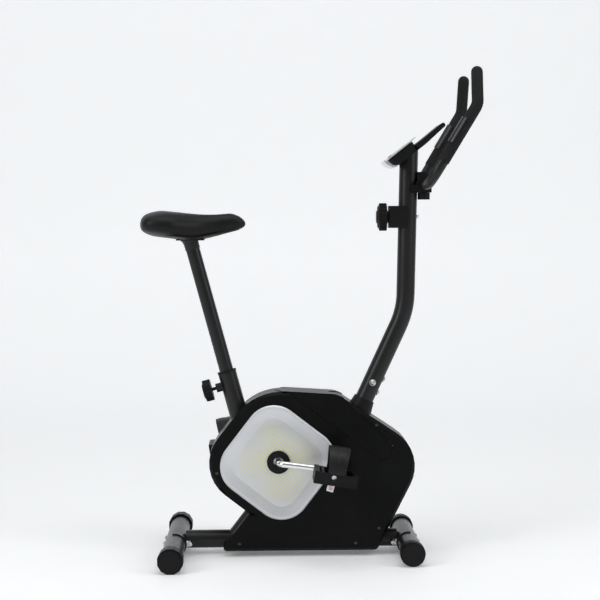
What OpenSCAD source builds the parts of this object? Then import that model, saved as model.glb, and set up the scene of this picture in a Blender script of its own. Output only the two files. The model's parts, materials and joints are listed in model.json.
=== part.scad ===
// Upright exercise bike. Millimetres, +X forward, +Y to the rider's left, +Z up.
// The origin lies on the floor, under the middle of the bike's overall length and width.

/* [Base] */
// Length of the rear stabiliser over its end caps
rear_length = 460; // [420:10:480]
// Length of the front stabiliser over its wheels
front_length = 360; // [320:10:400]
// Distance of the rear stabiliser behind the origin
rear_reach = 332; // [310:1:350]
// Distance of the front stabiliser ahead of the origin
front_reach = 238; // [220:1:260]
// Diameter of the stabiliser tubes
foot_d = 50; // [46:1:52]
// Diameter across the flats of the end caps and over the wheels
cap_d = 60; // [58:1:64]

/* [Frame] */
// Diameter of the base rail
rail_d = 44; // [40:1:46]
// Diameter of the seat tube, the strut and the handlebar post
tube_d = 45; // [42:1:46]
// Slope of the rear strut above the floor
strut_slope = 52.3; // [50:0.1:56]
// Backward lean of the seat tube
seat_lean = 15; // [12:0.5:17]
// Forward lean of the lower part of the handlebar post
post_lean = 25; // [23:0.5:27]
// Forward lean of the upper part of the handlebar post
post_top_lean = 1.5; // [0:0.5:3]

/* [Drive] */
// Length of a crank arm, axle to pedal
crank_length = 130; // [120:5:140]
// Angle of the right crank arm below the horizontal
crank_dip = 6.5; // [0:0.5:12]
// Radius of the drive pulley
pulley_r = 90; // [80:1:92]
// Radius of the small pulley on the flywheel shaft
small_pulley_r = 15; // [13:1:18]
// Radius of the flywheel
flywheel_r = 102; // [90:1:103]

/* [Housing] */
// Half width of the housing
housing_half = 52; // [50:1:54]
// Side of the square silver plate
plate_side = 240; // [220:5:244]
// Corner radius of the silver plate
plate_corner = 70; // [60:5:80]

/* [Seat and handlebar] */
// Diameter of the seat post
seat_post_d = 34; // [32:1:35]
// Spacing of the seat post's holes
hole_pitch = 25; // [20:5:30]
// Diameter of the handlebar tube
bar_d = 25; // [22:1:26]
// Diameter of the foam grips
grip_d = 28; // [27:1:30]
// Backward tilt of the console's face above the horizontal
console_tilt = 38; // [30:1:45]
// Width of the console
console_w = 130; // [110:5:140]

/* [Hidden] */
$fn = 48;

// Clearances
running = 0.05;
weld_gap = 0.05;
air = 0.3;

// Base
rear_x = -rear_reach;
front_x = front_reach;
foot_z = cap_d / 2;
rail_z = 36;
rail_r = rail_d / 2;
foot_r = foot_d / 2;
bracket_t = 3.2;
bracket_half = 45;
bolt_y = 32;
bolt_r = 4;
cap_length = 38;
cap_wall = 3.5;

// Crank, flywheel and belt
crank_c = [-78, 233];
axle_r = 8;
shell_r = 24;
shell_half = 35;
bearing_r = 17.5;
bearing_w = 11;
bend_r = 18;
bend_start = 62;
arm_splay = 6;
arm_r = 7.6;
boss_r = 14;
spindle_r = 6;
flywheel_c = [122, 192];
wheel_y = [-45, -27];
carrier_r = 22;
carrier_y = [-22, 30];
belt_y = [38, 45];
belt_t = 2.5;
pulley_y = [37, 46];
idler_r = 16;
belt_run = flywheel_c - crank_c;
belt_angle = atan2(belt_run.y, belt_run.x) - acos((pulley_r - small_pulley_r) / norm(belt_run));
belt_out = [cos(belt_angle), sin(belt_angle)];
belt_mid = ((crank_c + pulley_r * belt_out) + (flywheel_c + small_pulley_r * belt_out)) / 2;
idler_c = belt_mid + (idler_r + belt_t + 2 * air) * belt_out;

// Magnet bracket, hinged on the post stub above the flywheel
magnet_gap = 2.5;
magnet_t = 4;
magnet_plate_t = 4;
magnet_arc = [30, 84];
magnet_pivot = flywheel_c + 118 * [cos(105), sin(105)];
magnet_pin_r = 4;

// Rear strut, seat tube and seat
tube_r = tube_d / 2;
tube_wall = 2.5;
strut_foot = [-187, rail_z];
strut_dir = [cos(strut_slope), sin(strut_slope)];
strut_top = strut_foot + 205 * strut_dir;
seat_dir = [-sin(seat_lean), cos(seat_lean)];
seat_back = [-cos(seat_lean), -sin(seat_lean)];
seat_top = [-202.6, 448];
seat_foot = seat_top - 332 * seat_dir;
seat_post_r = seat_post_d / 2;
seat_post_up = 335;
seat_post_in = 150;
bush_depth = 90;
pin_drop = 30.6;
pin_r = 4;
boss_reach = 36;
knob_reach = [46.8, 68.8];
seat_knob_r = 26.5;
saddle_rear = [-358, 808];
saddle_lobe_r = 52;
saddle_nose = [-177.5, 815];

// Handlebar post
post_knee = [236, 598];
knee_r = 200;
post_dir = [sin(post_lean), cos(post_lean)];
post_front = [cos(post_lean), -sin(post_lean)];
post_top_dir = [sin(post_top_lean), cos(post_top_lean)];
post_seam = post_knee - 225 * post_dir;
post_foot = post_seam - 395 * post_dir;
post_wall = 1.9;
sleeve_r = tube_r - post_wall - 0.1;
sleeve_up = 75;
post_length = 400;

// Handlebar, right side, from the clamp to the top of the grip
bar_c = [282, 904];
bar_r = bar_d / 2;
grip_r = grip_d / 2;
bar_low = [282, -146, 904];
bar_high = [394, -150, 1089];
bar_end = [396, -122, 1167];
grip_start = 0.28;

// Console
console_at = [187.5, 965];
console_len = 74;
console_t = 29;
lip_len = 87.5;
lens_size = [42, 88];
lens_mid = 44;
button_at = 15;
button_r = 5.5;

// Tension unit
tension_z = 827;
tension_knob_r = 34;
tension_knob_x = [165.5, 190.7];

// Housing outline in the XZ plane, with its corner radii; the last corner is a hollow one
housing_pts = [[-287, 212], [-133, 409], [68, 396], [284, 252], [162, 14], [-222, 14],
    [-150, 106]];
housing_radii = [98, 140, 60, 98, 14, 8, 10];
body_pts = [[-287, 212], [-133, 409], [68, 396], [284, 252], [162, 14], [-30, 14]];
body_radii = [98, 140, 60, 98, 14, 4];
foot_pts = [[-222, 14], [-150, 106], [0, 106], [60, 14]];
foot_radii = [8, 2, 4, 4];
housing_wall = 3;
edge_r = 7;
// Housing screws: X, Z, and whether a boss of the left shell reaches across to it
screw_at = [[-228.5, 205, 1], [-174.5, 31, 0], [109.5, 31, 0], [166.5, 67, 1], [162, 320.5, 1]];
screw_plane = -30;
// Fairing panel seen from the side, with its corner radii
band_pts = [[-96, 404], [-57, 404], [176, 231], [214, 262], [82, 384], [82, 430], [-96, 430]];
band_radii = [0.5, 12, 16, 24, 8, 0.5, 0.5];
fairing_half = 50;
plate_c = [-80, 232];
plate_turn = 52.3;
plate_y = [52.05, 57.6];
hub_cover_r = 28;

// ---------- Helpers ----------

function unit(v) = v / norm(v);

// Points of an outline with each corner rounded to its own radius
function corner(a, b, c, r, n) =
    let (u = unit(a - b), v = unit(c - b), half = acos(u * v) / 2,
         centre = b + unit(u + v) * r / sin(half),
         p = b + u * r / tan(half) - centre, q = b + v * r / tan(half) - centre,
         start = atan2(p.y, p.x),
         turn = (atan2(q.y, q.x) - start + 540) % 360 - 180)
    [for (i = [0:n]) centre + r * [cos(start + turn * i / n), sin(start + turn * i / n)]];

function rounded(pts, radii, n = 8) =
    let (m = len(pts))
    [for (i = [0:m - 1]) each corner(pts[(i + m - 1) % m], pts[i], pts[(i + 1) % m], radii[i], n)];

// Points of a path that turns at b on an arc of radius r
function bend(a, b, c, r, n) =
    let (u = unit(a - b), v = unit(c - b), half = acos(u * v) / 2,
         centre = b + unit(u + v) * r / sin(half),
         side = unit(b + u * r / tan(half) - centre))
    [for (i = [0:n]) let (t = (180 - 2 * half) * i / n) centre + r * (cos(t) * side - sin(t) * u)];

function at3(p, y = 0) = [p.x, y, p.y];

// Circle of points about a centre, square to t; ref is a direction that t never runs along
function ring(centre, t, r, sides, ref) =
    let (e = unit(ref - (ref * t) * t), f = cross(t, e))
    [for (k = [0:sides - 1]) centre + r * (cos(360 * k / sides) * e + sin(360 * k / sides) * f)];

function tangent(path, i) = unit(path[min(i + 1, len(path) - 1)] - path[max(i - 1, 0)]);

// Closed skin over a row of rings
module skin(rings) {
    n = len(rings);
    sides = len(rings[0]);
    walls = [for (i = [0:n - 2], k = [0:sides - 1])
        let (k2 = (k + 1) % sides)
        [(i + 1) * sides + k, (i + 1) * sides + k2, i * sides + k2, i * sides + k]];
    first = [for (k = [0:sides - 1]) k];
    last = [for (k = [sides - 1:-1:0]) (n - 1) * sides + k];
    polyhedron(points = [for (g = rings) each g], faces = concat([first], walls, [last]));
}

// Round tube swept along a path
module sweep(path, r, sides, ref) {
    skin([for (i = [0:len(path) - 1]) ring(path[i], tangent(path, i), r, sides, ref)]);
}

// Cylinder between two points
module rod(p, q, r) {
    d = q - p;
    translate(p)
        rotate([0, acos(d.z / norm(d)), atan2(d.y, d.x)])
            cylinder(h = norm(d), r = r);
}

// Cylinder across the bike, at c in the XZ plane
module across(c, y0, y1, r) {
    translate([c.x, y1, c.y])
        rotate([90, 0, 0])
            cylinder(h = y1 - y0, r = r);
}

// Side-view outline given a thickness across the bike
module slab(y0, y1) {
    translate([0, y1, 0])
        rotate([90, 0, 0])
            linear_extrude(height = y1 - y0)
                children();
}

module mirrored() {
    mirror([0, 1, 0])
        children();
}

// Tube in the middle plane with a bore
module plane_tube(p, q, r, wall) {
    difference() {
        rod(at3(p), at3(q), r);
        rod(at3(p - unit(q - p)), at3(q + unit(q - p)), r - wall);
    }
}

// Lobed hand knob standing on the XY plane
module lobed_knob(r, h, lobes) {
    difference() {
        cylinder(h = h, r = r);
        for (i = [0:lobes - 1])
            rotate([0, 0, 360 * (i + 0.5) / lobes])
                translate([r * 1.08, 0, -1])
                    cylinder(h = h + 2, r = r * 0.2, $fn = 24);
    }
}

// ---------- Base and welded frame ----------

module saddle_bracket(x, side) {
    difference() {
        across([x, foot_z], -bracket_half, bracket_half, foot_r + bracket_t);
        across([x, foot_z], -bracket_half - 1, bracket_half + 1, foot_r + weld_gap);
        translate([side > 0 ? x - 60 : x + 6, -100, -60])
            cube([side > 0 ? 66 - 12 : 60, 200, 120]);
        for (s = [-1, 1])
            rod([x, s * bolt_y, foot_z], [x + side * 60, s * bolt_y, foot_z], bolt_r + 0.3);
        translate([x - 60, -100, -20])
            cube([120, 200, 22]);
    }
}

module base_rail() {
    color("#1c1c1e") {
        difference() {
            union() {
                rod([rear_x + foot_r, 0, rail_z], [front_x - foot_r, 0, rail_z], rail_r);
                for (i = [1, 2])
                    across([screw_at[i].x, screw_at[i].y], screw_plane + 0.3, -18, 6);
            }
            rod([rear_x, 0, rail_z], [front_x, 0, rail_z], rail_r - tube_wall);
            for (x = [rear_x, front_x])
                across([x, foot_z], -60, 60, foot_r + bracket_t - 0.2);
            for (i = [1, 2])
                across([screw_at[i].x, screw_at[i].y], screw_plane - 1, -23, 1.95);
        }
        saddle_bracket(rear_x, 1);
        saddle_bracket(front_x, -1);
    }
}

module rear_strut() {
    color("#1c1c1e")
        difference() {
            plane_tube(strut_foot, strut_top, tube_r, tube_wall);
            rod([rear_x, 0, rail_z], [front_x, 0, rail_z], rail_r + weld_gap);
            across(crank_c, -40, 40, shell_r + weld_gap);
        }
}

module seat_tube() {
    pin_at = seat_top - pin_drop * seat_dir;
    color("#1c1c1e")
        difference() {
            union() {
                rod(at3(seat_foot), at3(seat_top), tube_r);
                rod(at3(pin_at + 15 * seat_back), at3(pin_at + boss_reach * seat_back), 11);
            }
            rod(at3(seat_foot - seat_dir), at3(seat_top + seat_dir), tube_r - tube_wall);
            rod(at3(strut_foot), at3(strut_top), tube_r + weld_gap);
            rod(at3(pin_at), at3(pin_at + 40 * seat_back), pin_r + running);
        }
}

module crank_shell() {
    color("#1c1c1e")
        difference() {
            across(crank_c, -shell_half, shell_half, shell_r);
            across(crank_c, -shell_half - 1, shell_half + 1, bearing_r + 0.02);
        }
}

module cross_tube() {
    z = 238;
    color("#1c1c1e")
        difference() {
            rod([crank_c.x, 0, z], [68, 0, z], 16);
            rod([crank_c.x - 1, 0, z], [80, 0, z], 13.5);
            across(crank_c, -40, 40, shell_r + weld_gap);
            rod(at3(post_foot), at3(post_seam), tube_r + weld_gap);
        }
}

module post_stub() {
    cable_at = magnet_pivot + [14, 14];
    color("#1c1c1e")
        difference() {
            union() {
                rod(at3(post_foot), at3(post_seam - 0.1 * post_dir), tube_r);
                rod(at3(post_seam - 5 * post_dir), at3(post_seam + sleeve_up * post_dir), sleeve_r);
                across(magnet_pivot, wheel_y[0] - 1, -18, magnet_pin_r);
            }
            rod(at3(post_foot - post_dir), at3(post_seam + 80 * post_dir), sleeve_r - 2.5);
            rod([rear_x, 0, rail_z], [front_x, 0, rail_z], rail_r + weld_gap);
            across(cable_at, -30, 0, 5);
            post_bolt_holes(bolt_r - 0.02);
        }
}

module flywheel_carrier() {
    leg = [[104, 46], [140, 46], [140, 192], [104, 192]];
    gusset = [[30, 150], [122, 172], [122, 210], [60, 225]];
    color("#1c1c1e")
        difference() {
            union() {
                across(flywheel_c, carrier_y[0], carrier_y[1], carrier_r);
                slab(-5, 5) polygon(leg);
                slab(-5, 5) polygon(gusset);
            }
            across(flywheel_c, carrier_y[0] - 1, carrier_y[1] + 1, bearing_r + 0.02);
            rod([rear_x, 0, rail_z], [front_x, 0, rail_z], rail_r + weld_gap);
            rod(at3(post_foot), at3(post_seam), tube_r + weld_gap);
        }
}

module stabiliser(x, length) {
    half = length / 2 - cap_wall - 0.5;
    color("#232325")
        difference() {
            across([x, foot_z], -half, half, foot_r);
            across([x, foot_z], -half - 1, half + 1, foot_r - 2);
            for (s = [-1, 1])
                rod([x - 40, s * bolt_y, foot_z], [x + 40, s * bolt_y, foot_z], bolt_r + 0.3);
        }
}

module rear_stabiliser() {
    stabiliser(rear_x, rear_length);
}

module front_stabiliser() {
    stabiliser(front_x, front_length);
}

// Carriage bolt from the outside of a stabiliser, with a washer and a domed nut inside
module stabiliser_bolt(x, y, side) {
    translate([x, y, foot_z])
        rotate([0, side * 90, 0]) {
            translate([0, 0, -foot_r - 4])
                cylinder(h = 3.8, r1 = 5, r2 = 9);
            translate([0, 0, -foot_r - 1])
                cylinder(h = 2 * foot_r + 13, r = bolt_r);
            translate([0, 0, foot_r + bracket_t + 0.2])
                cylinder(h = 1.6, r = 9);
            translate([0, 0, foot_r + bracket_t + 1.7])
                cylinder(h = 7, r = 7.4, $fn = 6);
            translate([0, 0, foot_r + bracket_t + 8])
                sphere(r = 6.2, $fn = 32);
        }
}

module stabiliser_bolts() {
    color("silver")
        for (s = [-1, 1]) {
            stabiliser_bolt(rear_x, s * bolt_y, 1);
            stabiliser_bolt(front_x, s * bolt_y, -1);
        }
}

// Round transport wheel with a ribbed rim, turning on the stabiliser's end
module front_wheel(side) {
    y1 = front_length / 2;
    y0 = y1 - cap_length;
    ribs = 28;
    module wheel() {
        difference() {
            union() {
                across([front_x, foot_z], y0, y1 - 3, cap_d / 2 - 1);
                across([front_x, foot_z], y0 + 6, y1 - 10, cap_d / 2);
                across([front_x, foot_z], y1 - 4, y1, cap_d / 2 - 4);
            }
            across([front_x, foot_z], y0 - 1, y1 - cap_wall, foot_r + running);
            for (i = [0:ribs - 1])
                translate([front_x, y0 - 1, foot_z])
                    rotate([0, 360 * (i + 0.5) / ribs, 0])
                        translate([-1, 0, cap_d / 2 - 1])
                            cube([2, 6, 4]);
        }
    }
    color("#101012")
        if (side > 0) wheel();
        else mirrored() wheel();
}

module front_wheel_right() {
    front_wheel(-1);
}

module front_wheel_left() {
    front_wheel(1);
}

// Twelve-sided levelling cap: turning it from a flat to an edge raises the foot
module rear_cap(side) {
    y1 = rear_length / 2;
    y0 = y1 - cap_length;
    module cap() {
        difference() {
            union() {
                translate([rear_x, y1 - 4, foot_z])
                    rotate([90, 15, 0])
                        cylinder(h = cap_length - 4, r = cap_d / 2 / cos(15), $fn = 12);
                across([rear_x, foot_z], y1 - 5, y1, cap_d / 2 - 4);
            }
            across([rear_x, foot_z], y0 - 1, y1 - cap_wall, foot_r + running);
        }
    }
    color("#101012")
        if (side > 0) cap();
        else mirrored() cap();
}

module rear_cap_right() {
    rear_cap(-1);
}

module rear_cap_left() {
    rear_cap(1);
}

// ---------- Housing ----------

// Convex block with a chamfered side edge, from the middle plane out to half width y
module chamfered_block(pts, radii, y) {
    hull() {
        slab(0, y - edge_r)
            polygon(rounded(pts, radii));
        slab(0, y)
            offset(delta = -edge_r)
                polygon(rounded(pts, radii));
    }
}

module housing_outline(inset) {
    offset(delta = -inset)
        polygon(rounded(housing_pts, housing_radii));
}

// Space of the fairing, grown by g: its side-view panel, and its arrow shape from above
module fairing_space(g) {
    tip = fairing_half;
    intersection() {
        slab(-tip - 20, tip + 20)
            offset(delta = g)
                polygon(rounded(band_pts, band_radii, 6));
        translate([0, 0, 150])
            linear_extrude(height = 300)
                offset(delta = g)
                    polygon([[-86, 0], [-64, -tip - 10], [240, -tip - 10], [240, -tip + 3],
                        [80, -tip + 3], [43, 0], [80, tip - 3], [240, tip - 3], [240, tip + 10],
                        [-64, tip + 10]]);
    }
}

// Left half of the housing, without its screw bosses
module housing_half_shell() {
    difference() {
        union() {
            chamfered_block(body_pts, body_radii, housing_half);
            chamfered_block(foot_pts, foot_radii, housing_half);
        }
        slab(-1, housing_half - edge_r)
            housing_outline(housing_wall);
        slab(-1, housing_half - housing_wall)
            housing_outline(housing_wall + edge_r);
        translate([-400, -1, -10])
            cube([800, 1.1, 500]);
        fairing_space(0.5);
        across(crank_c, 0, 80, 26);
        rod(at3(seat_foot), at3(seat_top), tube_r + 1);
        rod(at3(post_foot), at3(post_seam), tube_r + 1);
        rod(at3(strut_foot - 30 * strut_dir), at3(strut_top), tube_r + 0.6);
        rod([rear_x, 0, rail_z], [front_x, 0, rail_z], rail_r + 0.6);
    }
}

module housing_right() {
    color("#141416")
        difference() {
            union() {
                mirrored() housing_half_shell();
                for (s = screw_at)
                    across([s.x, s.y], -housing_half + 2.6, screw_plane, 5.9);
            }
            for (s = screw_at) {
                across([s.x, s.y], -housing_half - 1, -44, 4.9);
                across([s.x, s.y], -46, screw_plane + 1, 2.3);
            }
        }
}

module housing_left() {
    color("#141416")
        difference() {
            union() {
                housing_half_shell();
                for (s = screw_at)
                    if (s.z == 1)
                        across([s.x, s.y], screw_plane + 0.3, housing_half - 2.6, 5.9);
            }
            for (s = screw_at)
                if (s.z == 1)
                    across([s.x, s.y], screw_plane - 1, -22, 1.95);
        }
}

module housing_screws() {
    color("#3a3a3c")
        for (s = screw_at) {
            across([s.x, s.y], -46.5, -44.1, 4);
            across([s.x, s.y], -44.5, -23.5, 1.9);
        }
}

// Saddle-shaped cover over the top seam, sunk into both sides and proud of the top
module top_fairing() {
    color("#171719")
        intersection() {
            difference() {
                slab(-fairing_half, fairing_half)
                    offset(delta = 1.5)
                        polygon(rounded(housing_pts, housing_radii));
                slab(-fairing_half + 2.5, fairing_half - 2.5)
                    offset(delta = -housing_wall)
                        polygon(rounded(housing_pts, housing_radii));
            }
            fairing_space(0);
        }
}

module plate_outline(inset) {
    translate(plate_c)
        rotate(plate_turn)
            offset(r = plate_corner - inset, $fn = 64)
                square(plate_side - 2 * plate_corner, center = true);
}

// Dished silver side plate with a bevelled rim, left side
module side_plate() {
    rim = 5;
    dish = 24;
    difference() {
        hull() {
            slab(plate_y[0], plate_y[1] - 3) plate_outline(0);
            slab(plate_y[0], plate_y[1]) plate_outline(3);
        }
        hull() {
            slab(plate_y[1] - 0.01, plate_y[1] + 2) plate_outline(3 + rim);
            slab(plate_y[0] + 1.6, plate_y[1] + 2) plate_outline(3 + rim + dish);
        }
        across(crank_c, 0, 80, 26.5);
    }
}

module side_plate_right() {
    color("#d9dadc")
        mirrored() side_plate();
}

module side_plate_left() {
    color("#d9dadc")
        side_plate();
}

// Round covers around the crank axle
module hub_covers() {
    module cover() {
        difference() {
            union() {
                across(crank_c, plate_y[0] + 1.9, plate_y[1], hub_cover_r);
                across(crank_c, 47, 60, 24);
            }
            across(crank_c, 40, 70, 12.5);
        }
    }
    color("#0c0c0d") {
        cover();
        mirrored() cover();
    }
}

module post_boot() {
    base = post_seam - 44 * post_dir;
    color("#0c0c0d")
        difference() {
            translate(at3(base))
                rotate([0, post_lean, 0])
                    cylinder(h = 30, r1 = 31, r2 = 25.5);
            rod(at3(post_foot), at3(post_seam), tube_r + 0.1);
            slab(-60, 60)
                offset(delta = 0.1)
                    polygon(rounded(housing_pts, housing_radii));
        }
}

// ---------- Handlebar post and tension unit ----------

module post_bolt_holes(r) {
    for (s = [12, 48])
        rod(at3(post_seam + s * post_dir), at3(post_seam + s * post_dir + 30 * post_front), r);
    across(post_seam + 31 * post_dir, -30, 0, r);
}

// Tube that leans forward, turns at the knee and rises to the console
module post_tube(r, below = 0) {
    turn = post_lean - post_top_lean;
    cut = knee_r * tan(turn / 2);
    low = post_knee - cut * post_dir;
    high = post_knee + cut * post_top_dir;
    centre = low - knee_r * post_front;
    rod(at3(post_seam - below * post_dir), at3(low + post_dir), r);
    translate(at3(centre))
        rotate([90, post_lean, 0])
            rotate_extrude(angle = turn, $fn = 96)
                translate([knee_r, 0])
                    circle(r = r - 0.1);
    rod(at3(high - post_top_dir), at3(high + post_length * post_top_dir), r);
}

module console_frame() {
    translate(at3(console_at))
        rotate([0, -console_tilt, 0])
            children();
}

module handlebar_post() {
    color("#1c1c1e")
        difference() {
            post_tube(tube_r);
            post_tube(tube_r - post_wall, 5);
            console_frame()
                translate([-100, -60, -console_t - 0.2])
                    cube([300, 120, 200]);
            post_bolt_holes(bolt_r + 0.3);
            rod([190, 0, tension_z - 12], [243, 0, tension_z - 12], 5);
        }
}

// Domed screw: head outside the tube, shank through its wall
module domed_screw(head_r, shank) {
    cylinder(h = 1.6, r = head_r);
    translate([0, 0, 1.5])
        cylinder(h = 3.4, r1 = head_r - 1, r2 = head_r - 4);
    translate([0, 0, -shank])
        cylinder(h = shank + 1, r = bolt_r - 0.05);
}

module post_bolts() {
    color("silver") {
        for (s = [12, 48])
            translate(at3(post_seam + s * post_dir + (tube_r + 0.1) * post_front))
                rotate([0, 90 + post_lean, 0])
                    domed_screw(7, 5);
        translate(at3(post_seam + 31 * post_dir, -tube_r - 0.1))
            rotate([90, 0, 0])
                domed_screw(8, 5);
        translate([242 + tube_r + 0.3, 0, tension_z])
            rotate([0, 90, 0])
                cylinder(h = 5, r1 = 4.5, r2 = 3);
    }
}

// Box that clips round the back of the post
module tension_housing() {
    color("#111113")
        difference() {
            union() {
                hull()
                    for (s = [-1, 1], z = [-1, 1])
                        translate([196, s * 22, tension_z + z * 22])
                            rotate([0, 90, 0])
                                cylinder(h = 46, r = 5, $fn = 32);
                rod([191.5, 0, tension_z], [200, 0, tension_z], 15);
            }
            post_tube(tube_r + 0.1);
            rod([180, 0, tension_z], [214, 0, tension_z], 5 + running);
            rod([190, 0, tension_z - 12], [230, 0, tension_z - 12], 4);
        }
}

module tension_knob() {
    color("#18181a")
        translate([tension_knob_x[1], 0, tension_z])
            rotate([0, -90, 0]) {
                difference() {
                    union() {
                        lobed_knob(tension_knob_r, 18, 18);
                        translate([0, 0, 17])
                            cylinder(h = 5, r1 = tension_knob_r - 3, r2 = tension_knob_r - 8);
                        translate([0, 0, 21])
                            cylinder(h = 4.2, r1 = 20, r2 = 14);
                    }
                    translate([0, 0, -1])
                        cylinder(h = 6, r = 26);
                }
                translate([0, 0, 4])
                    cylinder(h = 4, r = 10);
                translate([0, 0, -20])
                    cylinder(h = 26, r = 5);
            }
}

// Tension cable: from the tension unit down inside the post, out at the magnet bracket
cable_points = [[222, 0, 815], [232, 0, 813], [240, 0, 800], [241, 0, 760], [239, 0, 700],
    [237, 0, 650], [234, 0, 610], [224, 0, 572], [204, 0, 528], [176, 0, 468], [148, 0, 408],
    [124, 0, 356], [112, -3, 331], [109, -10, 323], [107, -20, 320], [105, -30, 320]];

module tension_cable() {
    color("#0c0c0d")
        sweep(cable_points, 2.2, 8, [0.9, 0.3, -0.2]);
}

// ---------- Crank, pedals, belt and flywheel ----------

module bearing(c, y0) {
    difference() {
        across(c, y0, y0 + bearing_w, bearing_r);
        across(c, y0 - 1, y0 + bearing_w + 1, axle_r + running);
    }
}

module bearings() {
    color("#b8babd") {
        bearing(crank_c, -shell_half);
        bearing(crank_c, shell_half - bearing_w);
        bearing(flywheel_c, carrier_y[0] + 1);
        bearing(flywheel_c, carrier_y[1] - 1 - bearing_w);
    }
}

// Place in the crank's own frame: x along the arm, y outward along the axle
module on_crank(side) {
    translate(at3(crank_c))
        rotate([0, side < 0 ? crank_dip : 180 + crank_dip, 0])
            if (side < 0) mirror([0, 1, 0]) children();
            else children();
}

arm_turn = 90 - arm_splay;
arm_in = [bend_r * (1 - cos(arm_turn)), bend_start + bend_r * sin(arm_turn)];
arm_out = [crank_length, arm_in.y + (crank_length - arm_in.x) * tan(arm_splay)];

module crank_side(side) {
    on_crank(side) {
        translate([bend_r, bend_start, 0])
            rotate([0, 0, 180 - arm_turn])
                rotate_extrude(angle = arm_turn)
                    translate([bend_r, 0])
                        circle(r = axle_r - 0.2);
        rod([arm_in.x - 1.5, arm_in.y - 1.5 * tan(arm_splay), 0], [arm_out.x, arm_out.y, 0], arm_r);
        translate([arm_out.x, arm_out.y - 8, 0])
            rotate([-90, 0, 0])
                cylinder(h = 16, r = boss_r);
    }
}

module crank() {
    color("#c9cbce")
        difference() {
            union() {
                across(crank_c, -bend_start - 1, bend_start + 1, axle_r);
                crank_side(-1);
                crank_side(1);
            }
            for (s = [-1, 1])
                on_crank(s)
                    translate([arm_out.x, arm_out.y - 10, 0])
                        rotate([-90, 0, 0])
                            cylinder(h = 20, r = spindle_r + 0.02);
        }
}

module pedal_spindles() {
    color("#b0b2b5")
        for (s = [-1, 1])
            on_crank(s)
                translate([arm_out.x, arm_out.y - 8, 0])
                    rotate([-90, 0, 0]) {
                        cylinder(h = 109, r = spindle_r);
                        translate([0, 0, 16.2])
                            cylinder(h = 2.4, r = 9);
                    }
}

pedal_y0 = arm_out.y + 15;
pedal_w = 96;
pedal_x = [-46, 56];
// Nose-down tilt of the right and left pedal at rest
pedal_pitch = [9, -8];

// Place in a pedal's own frame: x forward, y outward from its inner face, z up
module on_pedal(side) {
    a = side < 0 ? crank_dip : 180 + crank_dip;
    translate([crank_c.x + crank_length * cos(a), 0, crank_c.y - crank_length * sin(a)])
        rotate([0, pedal_pitch[side < 0 ? 0 : 1], 0])
            mirror([0, side < 0 ? 1 : 0, 0])
                translate([0, pedal_y0, 0])
                    children();
}

// Open plastic cage with a bored middle tube, treads front and rear, and a weight below
module pedal(side) {
    end_t = 9;
    color("#121214")
        on_pedal(side)
            difference() {
                union() {
                    for (x = [pedal_x[0], pedal_x[1] - 12])
                        translate([x, 0, -12])
                            cube([12, pedal_w, 23]);
                    for (y = [0, pedal_w - end_t])
                        translate([pedal_x[0], y, -12]) {
                            cube([pedal_x[1] - pedal_x[0], end_t, 21]);
                            translate([30, 0, 0])
                                cube([42, end_t, 29]);
                        }
                    rotate([-90, 0, 0])
                        cylinder(h = pedal_w, r = 12.5);
                    for (x = [-30, 23])
                        translate([x, 0, -12])
                            cube([7, pedal_w, 22]);
                    translate([pedal_x[0], 3, -19])
                        cube([pedal_x[1] - pedal_x[0], pedal_w - 6, 8]);
                }
                translate([0, -1, 0])
                    rotate([-90, 0, 0])
                        cylinder(h = pedal_w + 2, r = spindle_r + running);
            }
}

module pedal_right() {
    pedal(-1);
}

module pedal_left() {
    pedal(1);
}

// Rubber foot strap arched over the pedal, outside the lugs at its inner and outer end
module strap(side) {
    half = pedal_w / 2;
    reach = half + 3;
    rise = 60;
    thick = 2.6;
    arch = [for (i = [0:20]) let (a = 180 * i / 20)
        [half - reach * cos(a), rise * pow(sin(a), 0.75)]];
    inside = [for (i = [20:-1:0]) let (a = 180 * i / 20)
        [half - (reach - thick) * cos(a), (rise - thick) * pow(sin(a), 0.75)]];
    color("#1a1a1c")
        on_pedal(side)
            translate([-21, 0, 8.5])
                rotate([90, 0, 90])
                    linear_extrude(height = 52)
                        polygon(concat(arch, inside));
}

module strap_right() {
    strap(-1);
}

module strap_left() {
    strap(1);
}

module drive_pulley() {
    color("#2a2a2c")
        difference() {
            union() {
                across(crank_c, pulley_y[0], pulley_y[1], pulley_r);
                across(crank_c, shell_half + 0.5, pulley_y[1], 20);
            }
            for (i = [0:4])
                across(crank_c + 52 * [cos(72 * i), sin(72 * i)], 30, 50, 22);
            across(crank_c, 30, 50, axle_r);
            difference() {
                across(crank_c, pulley_y[0] - 1, pulley_y[0] + 3, pulley_r - 8);
                across(crank_c, pulley_y[0] - 2, pulley_y[0] + 4, 26);
            }
        }
}

module flywheel() {
    color("#6a6c70")
        difference() {
            across(flywheel_c, wheel_y[0], wheel_y[1], flywheel_r);
            for (y = [wheel_y[0] - 1, wheel_y[1] - 5])
                difference() {
                    across(flywheel_c, y, y + 6, flywheel_r - 22);
                    across(flywheel_c, y - 1, y + 7, 24);
                }
            across(flywheel_c, -60, 0, axle_r);
        }
}

module flywheel_shaft() {
    color("#b8babd")
        across(flywheel_c, wheel_y[0] - 1, pulley_y[1] + 0.8, axle_r);
}

module flywheel_pulley() {
    color("#2a2a2c")
        difference() {
            across(flywheel_c, pulley_y[0], pulley_y[1], small_pulley_r);
            across(flywheel_c, 30, 50, axle_r);
        }
}

module drive_belt() {
    module loop(grow) {
        hull() {
            translate(crank_c) circle(r = pulley_r + grow, $fn = 120);
            translate(flywheel_c) circle(r = small_pulley_r + grow, $fn = 48);
        }
    }
    color("#0c0c0d")
        slab(belt_y[0], belt_y[1])
            difference() {
                loop(air + belt_t);
                loop(air);
            }
}

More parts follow.
